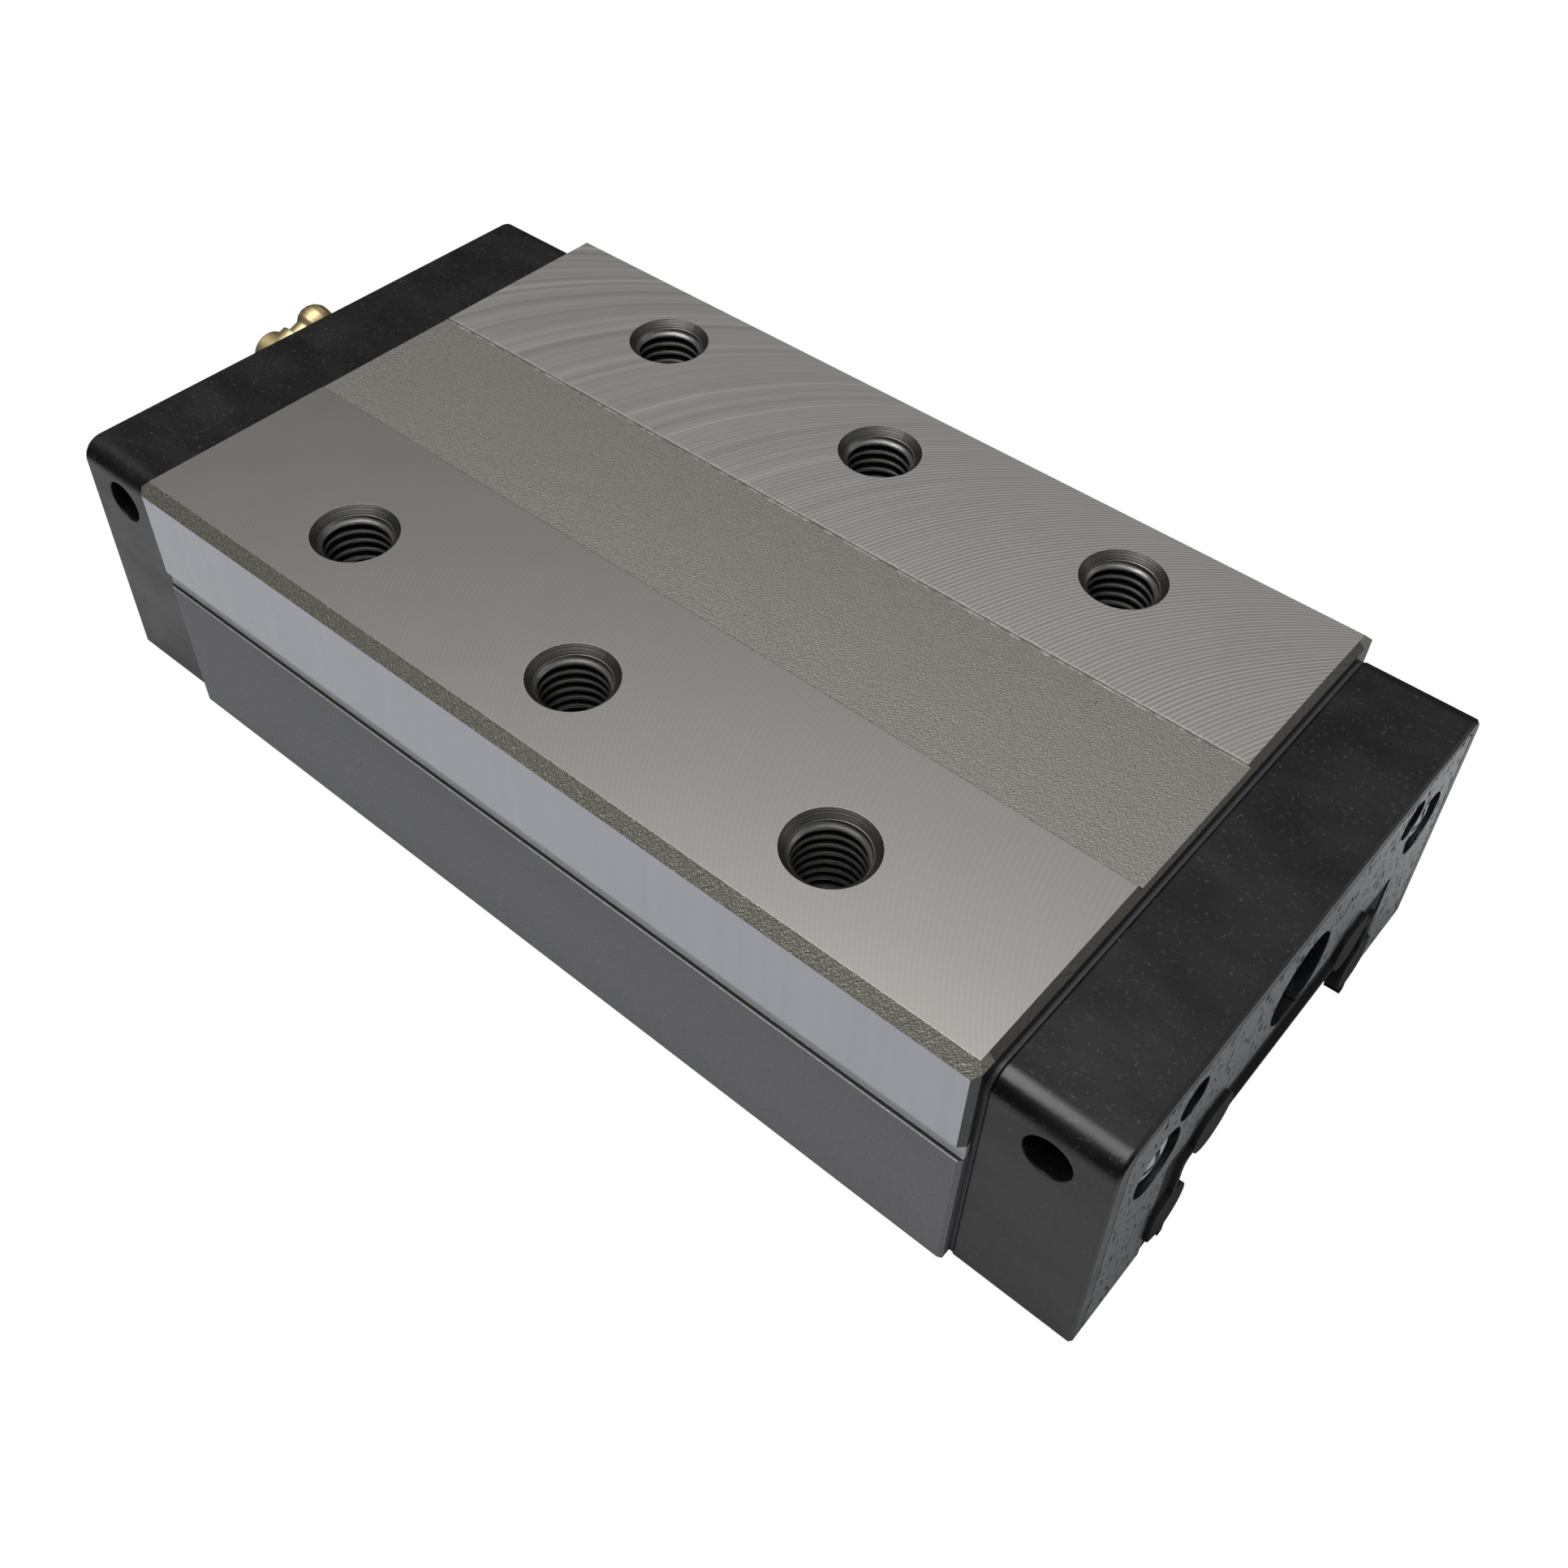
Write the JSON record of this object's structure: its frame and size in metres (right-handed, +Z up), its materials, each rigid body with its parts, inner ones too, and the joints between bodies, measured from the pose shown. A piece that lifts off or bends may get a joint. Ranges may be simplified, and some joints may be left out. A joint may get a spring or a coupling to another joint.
{
  "type": "linear guide block",
  "caption": "Ball-bearing carriage block for a profiled rail, with tapped holes in its ground top, black plastic end caps with seals, and a brass grease nipple.",
  "frame": {"origin": "centre of the six-hole pattern, on the top mounting face", "axes": "+Z up, square to the top mounting face; +Y along the rail, towards the end with the grease nipple; +X across the block, to the right when looking along +Y"},
  "size_m": [0.086, 0.1878, 0.041],
  "materials": {
    "ground_steel": "ground",
    "cap_plastic": "satin",
    "return_plate_plastic": "satin",
    "seal_plate_rubber": "satin",
    "seal_lip_rubber": "matte",
    "screw_steel": "bright",
    "retainer_plastic": "satin",
    "ball_steel": "polished",
    "spring_steel": "bright",
    "brass": "turned"
  },
  "bodies": {
    "block": {"steel_body": "ground_steel", "end_cap_near": "cap_plastic", "return_plate_near": "return_plate_plastic", "end_seal_near": "seal_plate_rubber", "seal_lip_near": "seal_lip_rubber", "end_screws_near": "screw_steel", "end_cap_far": "cap_plastic", "return_plate_far": "return_plate_plastic", "end_seal_far": "seal_plate_rubber", "seal_lip_far": "seal_lip_rubber", "end_screws_far": "screw_steel", "side_seal_left": "seal_lip_rubber", "ball_retainer_left": "retainer_plastic", "side_seal_right": "seal_lip_rubber", "ball_retainer_right": "retainer_plastic", "ball_retainer_centre": "retainer_plastic", "balls_upper_left": "ball_steel", "return_guide_upper_left_near": "retainer_plastic", "return_guide_upper_left_far": "retainer_plastic", "balls_upper_right": "ball_steel", "return_guide_upper_right_near": "retainer_plastic", "return_guide_upper_right_far": "retainer_plastic", "balls_lower_left": "ball_steel", "return_guide_lower_left_near": "retainer_plastic", "return_guide_lower_left_far": "retainer_plastic", "balls_lower_right": "ball_steel", "return_guide_lower_right_near": "retainer_plastic", "return_guide_lower_right_far": "retainer_plastic", "nipple_elbow": "brass", "nipple_head": "brass", "nipple_spring": "spring_steel"},
    "check_ball": {"nipple_check_ball": "ball_steel"}
  },
  "joints": [
    {"name": "check_ball_slide", "type": "slide", "parent": "block", "child": "check_ball", "axis": [-0.9397, 0, -0.342], "range_m": [0, 0.001], "stiffness_N_per_m": 200, "springref_m": -0.002, "deforming": ["nipple_spring"]}
  ]
}
